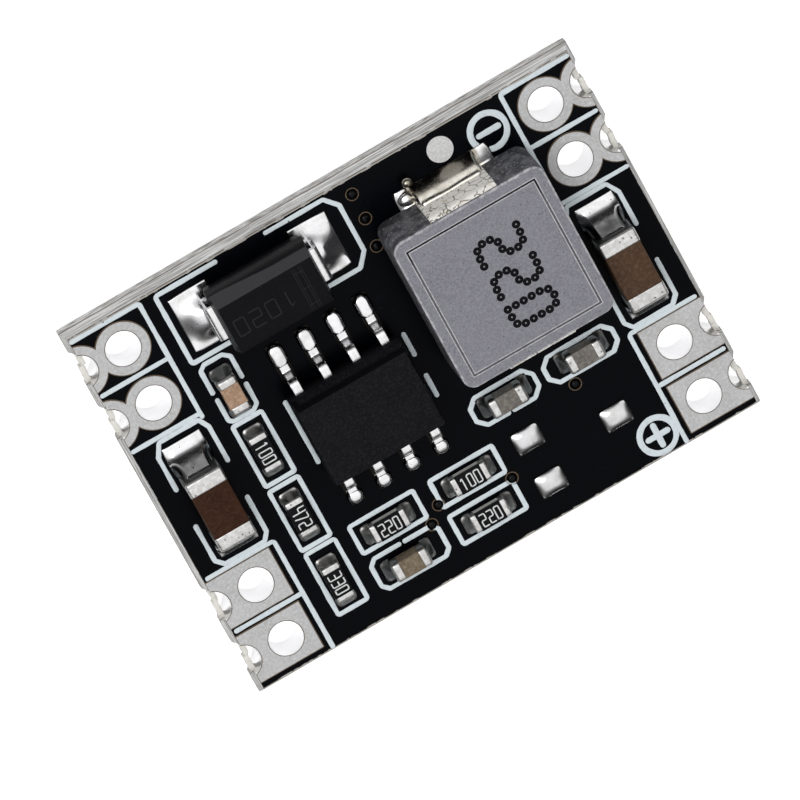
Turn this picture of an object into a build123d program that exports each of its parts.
# Step-down converter module: a small black circuit board with its parts soldered on top.
# Millimetres. The origin is at the centre of the board's underside, +Z is up through the parts,
# +X runs from the input end to the output end, and the minus terminals are on the +Y side.
import os
from math import atan2, degrees, hypot, tan

from build123d import *

os.makedirs("parts", exist_ok=True)

# Board: snapped out of a panel along V grooves, so its edges slope out to a rough middle web.
# Its copper stands on the top face, and is level with the mask on the underside
board_length = 22.4
board_width = 16.84
board_thick = 1.6
score_depth = 0.55
score_reach = 0.2
copper = 0.05

# Wire terminals: plated holes 2.54 apart, each joined to a half hole on the end of the board
wire_hole_radius = 0.7
barrel_wall = 0.05
wire_pitch = 2.54
wire_hole_inset = 1.88
wire_side_inset = 1.6
ring_radius = 1.07
plate_height = 2.14
plate_reach = 1.1

# Round test pad: its size, its gap to the inductor's land, and how far it lies off the land's middle
test_pad_radius = 0.53
test_pad_gap = 0.11
test_pad_shift = 0.4

# Solder joints: how far a small part's land runs out past it and in under it, how far the larger
# parts slipped on their lands, and how hollow the solder is, as a share of its sharper corner
small_land_out = 0.3
small_land_in = 0.3
part_slip = 0.2
solder_hollow = 0.8

# Large chip capacitors
large_length = 3.15
large_width = 1.6
large_height = 1.6
large_band = 0.62
large_land_span = 5.04
large_land_length = 1.45
large_land_shift = 0.08
large_solder_rise = 0.95

# Small chip capacitors
small_length = 1.58
small_width = 0.82
small_height = 0.8
small_band = 0.36
small_solder_rise = 0.45

# Chip resistors
resistor_length = 1.6
resistor_width = 0.8
resistor_height = 0.45
resistor_band = 0.27
resistor_coat = 0.02
resistor_solder_rise = 0.3

# All chip parts: the plating's thickness, and how far the corners are worn off
end_plating = 0.04
chip_corner = 0.05

# Regulator chip: eight gull-wing leads
chip_length = 4.9
chip_width = 3.9
chip_standoff = 0.15
chip_lower = 0.65
chip_upper = 0.65
chip_bevel = 0.34
chip_land_span = 7.4
chip_land_length = 1.7
lead_pitch = 1.27
lead_count = 8
lead_width = 0.4
lead_thick = 0.2
lead_shoulder = 0.5
lead_foot = 0.5
lead_lean = 0.12
lead_bend = 0.18
toe_solder_width = 0.58

# Rectifier diode: two leads folded under the body
diode_length = 4.3
diode_width = 2.65
diode_lower = 0.85
diode_upper = 0.85
diode_bevel = 0.4
diode_lead_width = 1.45
diode_lead_gap = 0.13
diode_lead_fold = 1.1
diode_land_span = 6.88
diode_land_length = 1.75
diode_land_width = 2.38
diode_solder_rise = 0.8

# Mouldings leave their mould with this slope, in degrees
mould_draft = 8.0

# Power inductor: a pressed block with a flat copper clip down each of two sides
inductor_length = 6.6
inductor_width = 6.7
inductor_height = 3.0
inductor_corner = 0.5
inductor_edge = 0.14
frame_inset = 0.5
frame_line = 0.07
frame_depth = 0.04
clip_width = 2.9
clip_thick = 0.15
clip_top = 0.22
clip_root = 0.6
clip_fold = 1.3
clip_bend = 0.16
inductor_land_width = 4.16
inductor_land_out = 0.72
inductor_solder_rise = 1.3

# Solder bumps on bare lands
bump_length = 1.18
bump_width = 0.97
bump_height = 0.16
bump_rim = 0.05

# Rows and columns of parts: the gaps before, between and after the parts of a row. On a longer or
# shorter row they keep their proportions. The columns run from -X to +X and the rows from -Y to +Y
column_gaps = (1.27, 1.39, 1.28, 1.21, 0.48, 1.27)
lower_row_gaps = (1.6, 1.99, 1.11, 1.84, 4.44)
diode_row_gaps = (1.29, 1.33)
resistor_column_gaps = (1.87, 1.5, 1.44, 1.19, 1.27, 0.81)
chip_column_gaps = (1.49, 0.91, 0.95, 1.28, 0.81)
inductor_column_gaps = (1.185, 1.06, 1.145, 0.87, 1.68)

end_x = board_length / 2
side_y = board_width / 2
top_x = end_x - score_reach
top_y = side_y - score_reach
seat = board_thick + copper
barrel_radius = wire_hole_radius + barrel_wall
wire_x = end_x - wire_hole_inset
outer_wire_y = side_y - wire_side_inset
inner_wire_y = outer_wire_y - wire_pitch
small_land_length = small_land_in + small_land_out
inductor_land_span = inductor_width + 2 * inductor_land_out


def spread(low, high, sizes, gaps):
    """The middles of the parts in a row: the room that they leave is shared out as the gaps are."""
    share = (high - low - sum(sizes)) / sum(gaps)
    middles = []
    edge = low
    for size, gap in zip(sizes, gaps):
        edge += gap * share
        middles.append(edge + size / 2)
        edge += size
    return middles


input_cap_x, resistor_x, chip_x, inductor_x, output_cap_x = spread(
    -end_x, end_x, (large_width, resistor_width, chip_length, inductor_length, large_width), column_gaps
)
lower_sizes = (resistor_length, resistor_length, small_length, small_length)
lower_x = spread(resistor_x + resistor_width / 2, end_x, lower_sizes, lower_row_gaps)
(diode_x,) = spread(
    ring_radius - wire_x, inductor_x - inductor_length / 2, (diode_land_span,), diode_row_gaps
)
resistor_sizes = (resistor_length, resistor_length, resistor_length, small_length, diode_land_width)
resistor_y = spread(-side_y, side_y, resistor_sizes, resistor_column_gaps)
chip_sizes = (small_width, resistor_width, chip_land_span, diode_land_width)
compensation_y, lower_resistor_y, chip_land_y, diode_land_y = spread(
    -side_y, side_y, chip_sizes, chip_column_gaps
)
inductor_sizes = (bump_width, bump_width, small_width, inductor_land_span)
lower_bump_y, upper_bump_y, filter_y, inductor_y = spread(
    -side_y, side_y, inductor_sizes, inductor_column_gaps
)
chip_y = chip_land_y - part_slip
diode_y = diode_land_y - part_slip
large_cap_y = -large_land_shift - part_slip
middle_bump_y = (lower_bump_y + upper_bump_y) / 2

# Each entry: the part's name, where its middle is, and whether it lies along Y
large_capacitors = [
    ("input_capacitor", input_cap_x, large_cap_y, True),
    ("output_capacitor", output_cap_x, large_cap_y, True),
]
small_capacitors = [
    ("boost_capacitor", resistor_x, resistor_y[3], True),
    ("filter_capacitor_1", lower_x[2], filter_y, False),
    ("filter_capacitor_2", lower_x[3], filter_y, False),
    ("compensation_capacitor", lower_x[0], compensation_y, False),
]
resistors = [
    ("resistor_1", resistor_x, resistor_y[2], True),
    ("resistor_2", resistor_x, resistor_y[1], True),
    ("resistor_3", resistor_x, resistor_y[0], True),
    ("resistor_4", lower_x[0], lower_resistor_y, False),
    ("resistor_5", lower_x[1], lower_resistor_y, False),
    ("resistor_6", lower_x[1], compensation_y, False),
]
bumps = [
    ("solder_bump_1", lower_x[2], upper_bump_y),
    ("solder_bump_2", lower_x[3], middle_bump_y),
    ("solder_bump_3", lower_x[2], lower_bump_y),
]
test_pad_y = inductor_y + inductor_land_span / 2 + test_pad_gap + test_pad_radius
test_pad_place = (inductor_x + test_pad_shift, test_pad_y)

# Boxes stand on their plane, centred on its origin
standing = (Align.CENTER, Align.CENTER, Align.MIN)
pieces = []


def finish(builder, name):
    """Name a finished piece and keep it for writing."""
    builder.part.label = name
    pieces.append(builder.part)
    return builder.part


def on_board(x, y, along_y=False):
    """The plane on top of the lands at a part, with its X along the part."""
    return Plane(origin=(x, y, seat), x_dir=(0, 1, 0) if along_y else (1, 0, 0), z_dir=(0, 0, 1))


# The bare board, before any hole: a web, and above and below it a slab that tapers in
with BuildPart() as blank:
    slope = degrees(atan2(score_reach, score_depth))
    with BuildSketch(Plane.XY.offset(score_depth)):
        Rectangle(board_length, board_width)
    extrude(amount=board_thick - 2 * score_depth)
    with BuildSketch(Plane.XY.offset(board_thick - score_depth)):
        Rectangle(board_length, board_width)
    extrude(amount=score_depth, taper=slope)
    with BuildSketch(Plane.XY.offset(score_depth)):
        Rectangle(board_length, board_width)
    extrude(amount=-score_depth, taper=slope)


def terminal_outline(end, y, ringed):
    """Copper round one wire hole and its half hole: two rings that meet in a neck, or one plate."""
    with BuildSketch() as outline:
        if ringed:
            with Locations((end * wire_x, y), (end * end_x, y)):
                Circle(ring_radius)
        else:
            inner_edge = wire_x - plate_reach
            with Locations((end * (inner_edge + end_x) / 2, y)):
                Rectangle(end_x - inner_edge, plate_height)
        Rectangle(2 * top_x, 2 * top_y, mode=Mode.INTERSECT)
    return outline.sketch


def drill_places(end, y):
    """The centres of a wire hole and of the half hole beside it."""
    return Locations((end * wire_x, y), (end * end_x, y))


terminals = [
    ("input_minus_terminal_1", -1, outer_wire_y, True),
    ("input_minus_terminal_2", -1, inner_wire_y, True),
    ("input_plus_terminal_1", -1, -inner_wire_y, False),
    ("input_plus_terminal_2", -1, -outer_wire_y, False),
    ("output_minus_terminal_1", 1, outer_wire_y, True),
    ("output_minus_terminal_2", 1, inner_wire_y, True),
    ("output_plus_terminal_1", 1, -inner_wire_y, False),
    ("output_plus_terminal_2", 1, -outer_wire_y, False),
]

# Each terminal is one piece of plated copper: a pad on both faces and the two barrels between them.
# The copper tore off where the groove begins, so the half hole's barrel stops short of the web
for name, end, y, ringed in terminals:
    with BuildPart() as terminal:
        with BuildSketch():
            add(terminal_outline(end, y, False))
        extrude(amount=copper)
        with BuildSketch():
            with drill_places(end, y):
                Circle(barrel_radius)
            Rectangle(2 * top_x, 2 * top_y, mode=Mode.INTERSECT)
        extrude(amount=seat)
        with BuildSketch(Plane.XY.offset(board_thick)):
            add(terminal_outline(end, y, ringed))
        extrude(amount=copper)
        with BuildSketch():
            with drill_places(end, y):
                Circle(wire_hole_radius)
        extrude(amount=seat, mode=Mode.SUBTRACT)
    finish(terminal, name)


def chip_lands(x, y, along_y, span, length, width):
    """The two lands under a two-ended part, as centre and size along X and Y."""
    middle = (span - length) / 2
    if along_y:
        return [(x, y + side * middle, width, length) for side in (-1, 1)]
    return [(x + side * middle, y, length, width) for side in (-1, 1)]


# Every land on the top face: where it is and how big
lands = []
for name, x, y, along_y in large_capacitors:
    lands += chip_lands(x, -large_land_shift, along_y, large_land_span, large_land_length, large_width)
for name, x, y, along_y in small_capacitors:
    span = small_length + 2 * small_land_out
    lands += chip_lands(x, y, along_y, span, small_land_length, small_width)
for name, x, y, along_y in resistors:
    span = resistor_length + 2 * small_land_out
    lands += chip_lands(x, y, along_y, span, small_land_length, resistor_width)
lead_places = [
    (chip_x + (column - (lead_count / 2 - 1) / 2) * lead_pitch, side)
    for side in (1, -1)
    for column in range(lead_count // 2)
]
for x, side in lead_places:
    y = chip_land_y + side * (chip_land_span - chip_land_length) / 2
    lands.append((x, y, toe_solder_width, chip_land_length))
lands += chip_lands(
    diode_x, diode_land_y, False, diode_land_span, diode_land_length, diode_land_width
)
inductor_land_length = inductor_land_out + clip_fold
lands += chip_lands(
    inductor_x, inductor_y, True, inductor_land_span, inductor_land_length, inductor_land_width
)
lands += [(x, y, bump_length, bump_width) for name, x, y in bumps]

with BuildPart() as component_lands:
    with BuildSketch(Plane.XY.offset(board_thick)):
        for x, y, size_x, size_y in lands:
            with Locations((x, y)):
                Rectangle(size_x, size_y)
    extrude(amount=copper)
finish(component_lands, "component_lands")

with BuildPart() as test_pad:
    with BuildSketch(Plane.XY.offset(board_thick)):
        with Locations(test_pad_place):
            Circle(test_pad_radius)
    extrude(amount=copper)
finish(test_pad, "test_pad")

# The finished board: the blank with its holes, and with the underside's plates let in level
with BuildPart() as printed_circuit_board:
    add(blank.part)
    with BuildSketch():
        for name, end, y, ringed in terminals:
            with drill_places(end, y):
                Circle(barrel_radius)
    extrude(amount=board_thick, mode=Mode.SUBTRACT)
    with BuildSketch():
        for name, end, y, ringed in terminals:
            add(terminal_outline(end, y, False))
    extrude(amount=copper, mode=Mode.SUBTRACT)
finish(printed_circuit_board, "printed_circuit_board")


def chip_part(place, length, width, height, band):
    """A chip capacitor: a ceramic block and the two plated ends that wrap round it."""
    with BuildPart() as block:
        with Locations(place.offset(end_plating)):
            wrapped = 2 * end_plating
            Box(length - wrapped, width - wrapped, height - wrapped, align=standing)
    with BuildPart() as ends:
        with Locations(place):
            Box(length, width, height, align=standing)
            chamfer(ends.edges(), length=chip_corner)
            Box(length - 2 * band, width, height, align=standing, mode=Mode.SUBTRACT)
        add(block.part, mode=Mode.SUBTRACT)
    return block, ends


def resistor_part(place):
    """A chip resistor: a flat block with a raised coat on top, and an end cap bent over each end."""
    coat_length = resistor_length - 2 * resistor_band
    inner_length = resistor_length - 2 * end_plating
    inner_height = resistor_height - 2 * end_plating
    with BuildPart() as block:
        with Locations(place.offset(end_plating)):
            Box(inner_length, resistor_width, inner_height, align=standing)
            Box(coat_length, resistor_width, inner_height + end_plating + resistor_coat, align=standing)
    with BuildPart() as ends:
        with Locations(place):
            Box(resistor_length, resistor_width, resistor_height, align=standing)
            Box(coat_length, resistor_width, resistor_height, align=standing, mode=Mode.SUBTRACT)
        add(block.part, mode=Mode.SUBTRACT)
    return block, ends


def solder_section(place, side, start, reach, rise, curved):
    """The upright section of the solder from a part's end out to its land's edge, with a hollow slope.

    The slope of a large joint is an arc. A small joint has two flats through the middle of that arc.
    """
    out = place.x_dir * side
    origin = place.from_local_coords((side * start, 0, 0))
    bend = solder_hollow * min(atan2(rise, reach), atan2(reach, rise))
    sag = hypot(reach, rise) / 2 * tan(bend / 2)
    with BuildSketch(Plane(origin=origin, x_dir=out, z_dir=out.cross(place.z_dir))) as section:
        with BuildLine():
            Polyline((0, rise), (0, 0), (reach, 0))
            slope = SagittaArc((reach, 0), (0, rise), sag, mode=Mode.ADD if curved else Mode.PRIVATE)
            if not curved:
                Polyline((reach, 0), slope @ 0.5, (0, rise))
        make_face()
    return section.sketch


def end_sections(place, length, land_span, slip, rise, curved=True):
    """The solder sections at both ends of a part that slipped on its lands."""
    reach = (land_span - length) / 2
    return [
        solder_section(place, side, length / 2, reach + side * slip, rise, curved) for side in (-1, 1)
    ]


large_places = [(name, on_board(x, y, along_y)) for name, x, y, along_y in large_capacitors]
small_places = [(name, on_board(x, y, along_y)) for name, x, y, along_y in small_capacitors]
resistor_places = [(name, on_board(x, y, along_y)) for name, x, y, along_y in resistors]

for name, place in large_places:
    block, ends = chip_part(place, large_length, large_width, large_height, large_band)
    finish(block, name + "_body")
    finish(ends, name + "_ends")
for name, place in small_places:
    block, ends = chip_part(place, small_length, small_width, small_height, small_band)
    finish(block, name + "_body")
    finish(ends, name + "_ends")
for name, place in resistor_places:
    block, ends = resistor_part(place)
    finish(block, name + "_body")
    finish(ends, name + "_ends")

small_land_span = small_length + 2 * small_land_out
resistor_land_span = resistor_length + 2 * small_land_out

with BuildPart() as capacitor_solder:
    for name, place in large_places:
        for section in end_sections(place, large_length, large_land_span, part_slip, large_solder_rise):
            extrude(section, amount=large_width / 2, both=True)
    for name, place in small_places:
        for section in end_sections(place, small_length, small_land_span, 0, small_solder_rise, False):
            extrude(section, amount=small_width / 2, both=True)
finish(capacitor_solder, "capacitor_solder")

with BuildPart() as resistor_solder:
    for name, place in resistor_places:
        sections = end_sections(
            place, resistor_length, resistor_land_span, 0, resistor_solder_rise, False
        )
        for section in sections:
            extrude(section, amount=resistor_width / 2, both=True)
finish(resistor_solder, "resistor_solder")


def moulding(x, y, length, width, standoff, lower, upper, bevel=0):
    """A moulded package: a straight band where the leads come out, tapered above and below it."""
    floor = seat + standoff
    with BuildPart() as body:
        with BuildSketch(Plane(origin=(x, y, floor + lower))):
            Rectangle(length, width)
        extrude(amount=lead_thick)
        with BuildSketch(Plane(origin=(x, y, floor + lower + lead_thick))):
            Rectangle(length, width)
        extrude(amount=upper, taper=mould_draft)
        with BuildSketch(Plane(origin=(x, y, floor + lower))):
            Rectangle(length, width)
        extrude(amount=-lower, taper=mould_draft)
        if bevel:
            chamfer(body.edges().group_by(Axis.Z)[-1].sort_by(Axis.Y)[-1], length=bevel)
    return body


def bent_strip(place, points, bend, width, thick, rounded):
    """A flat strip that follows points in its own plane, with every corner bent round, or cut across."""
    bends = FilletPolyline(*points, radius=bend)
    with BuildPart() as strip:
        with BuildLine(place) as route:
            if rounded:
                FilletPolyline(*points, radius=bend)
            else:
                Polyline(*[(corner.X, corner.Y) for corner in bends.vertices()])
        with BuildSketch(Plane(origin=route.wire() @ 0, x_dir=place.z_dir, z_dir=route.wire() % 0)):
            Rectangle(width, thick)
        sweep(path=route.wire(), transition=Transition.RIGHT)
    return strip


def side_plane(x, y, out_x, out_y):
    """An upright plane on top of the lands: its X points out of a part's side, and its Y points up."""
    out = Vector(out_x, out_y, 0)
    return Plane(origin=(x, y, seat), x_dir=out, z_dir=out.cross(Vector(0, 0, 1)))


# The regulator: a moulded body with one bevelled long edge, and eight gull-wing leads
regulator = moulding(
    chip_x, chip_y, chip_length, chip_width, chip_standoff, chip_lower, chip_upper, chip_bevel
)
finish(regulator, "regulator_body")

lead_exit = chip_standoff + chip_lower + lead_thick / 2
foot_level = lead_thick / 2
shoulder_end = chip_width / 2 + lead_shoulder
ankle = shoulder_end + lead_lean
toe = ankle + lead_foot
lead_route = [(chip_width / 2, lead_exit), (shoulder_end, lead_exit), (ankle, foot_level), (toe, foot_level)]
for number, (x, side) in enumerate(lead_places, start=1):
    place = side_plane(x, chip_y, 0, side)
    lead = bent_strip(place, lead_route, lead_bend, lead_width, lead_thick, False)
    finish(lead, f"regulator_lead_{number}")

with BuildPart() as regulator_solder:
    for x, side in lead_places:
        reach = chip_land_span / 2 + side * part_slip - toe
        section = solder_section(on_board(x, chip_y, True), side, toe, reach, lead_thick, False)
        extrude(section, amount=toe_solder_width / 2, both=True)
finish(regulator_solder, "regulator_solder")

# The diode: a moulded body with one bevelled long edge, and two strips that leave its ends and fold
# under it to carry it
diode = moulding(
    diode_x, diode_y, diode_length, diode_width, lead_thick, diode_lower, diode_upper, diode_bevel
)
finish(diode, "diode_body")

diode_exit = lead_thick + diode_lower + lead_thick / 2
diode_leg = diode_length / 2 + diode_lead_gap + lead_thick / 2
fold_level = lead_thick / 2
fold_end = diode_leg - diode_lead_fold
diode_route = [
    (diode_length / 2, diode_exit),
    (diode_leg, diode_exit),
    (diode_leg, fold_level),
    (fold_end, fold_level),
]
for name, side in (("diode_anode_lead", -1), ("diode_cathode_lead", 1)):
    place = side_plane(diode_x, diode_y, side, 0)
    lead = bent_strip(place, diode_route, lead_bend, diode_lead_width, lead_thick, True)
    finish(lead, name)

diode_outer = 2 * diode_leg + lead_thick
with BuildPart() as diode_solder:
    place = on_board(diode_x, diode_y)
    for section in end_sections(place, diode_outer, diode_land_span, 0, diode_solder_rise):
        extrude(section, amount=diode_lead_width / 2, both=True)
finish(diode_solder, "diode_solder")

# The inductor: a pressed block with rounded corners and a grooved frame on top, and two clips that
# leave it under its top edge, lie down its sides and fold under it
clip_plane = inductor_width / 2 + clip_thick / 2
clip_route = [
    (clip_plane - clip_root, inductor_height - clip_top),
    (clip_plane, inductor_height - clip_top),
    (clip_plane, clip_thick / 2),
    (clip_plane - clip_fold, clip_thick / 2),
]
clips = []
for name, side in (("inductor_clip_front", 1), ("inductor_clip_back", -1)):
    place = side_plane(inductor_x, inductor_y, 0, side)
    clip = bent_strip(place, clip_route, clip_bend, clip_width, clip_thick, True)
    clips.append(finish(clip, name))

with BuildPart() as inductor_body:
    with Locations(on_board(inductor_x, inductor_y)):
        Box(inductor_length, inductor_width, inductor_height, align=standing)
    fillet(inductor_body.edges().filter_by(Axis.Z), inductor_corner)
    chamfer(inductor_body.edges().group_by(Axis.Z)[-1], length=inductor_edge)
    with BuildSketch(on_board(inductor_x, inductor_y).offset(inductor_height)):
        frame_length = inductor_length - 2 * frame_inset
        frame_width = inductor_width - 2 * frame_inset
        Rectangle(frame_length, frame_width)
        Rectangle(frame_length - 2 * frame_line, frame_width - 2 * frame_line, mode=Mode.SUBTRACT)
    extrude(amount=-frame_depth, mode=Mode.SUBTRACT)
    for clip in clips:
        add(clip, mode=Mode.SUBTRACT)
finish(inductor_body, "inductor_body")

clip_outer = 2 * clip_plane + clip_thick
with BuildPart() as inductor_solder:
    place = on_board(inductor_x, inductor_y, True)
    for section in end_sections(place, clip_outer, inductor_land_span, 0, inductor_solder_rise):
        extrude(section, amount=clip_width / 2, both=True)
finish(inductor_solder, "inductor_solder")

# Solder bumps: low pillows with bevelled rims
for name, x, y in bumps:
    with BuildPart() as bump:
        with Locations(on_board(x, y)):
            Box(bump_length - 2 * bump_rim, bump_width - 2 * bump_rim, bump_height, align=standing)
        chamfer(bump.edges().group_by(Axis.Z)[-1], length=bump_height / 2)
    finish(bump, name)

for piece in pieces:
    export_step(piece, f"parts/{piece.label}.step")
print(len(pieces), "pieces")
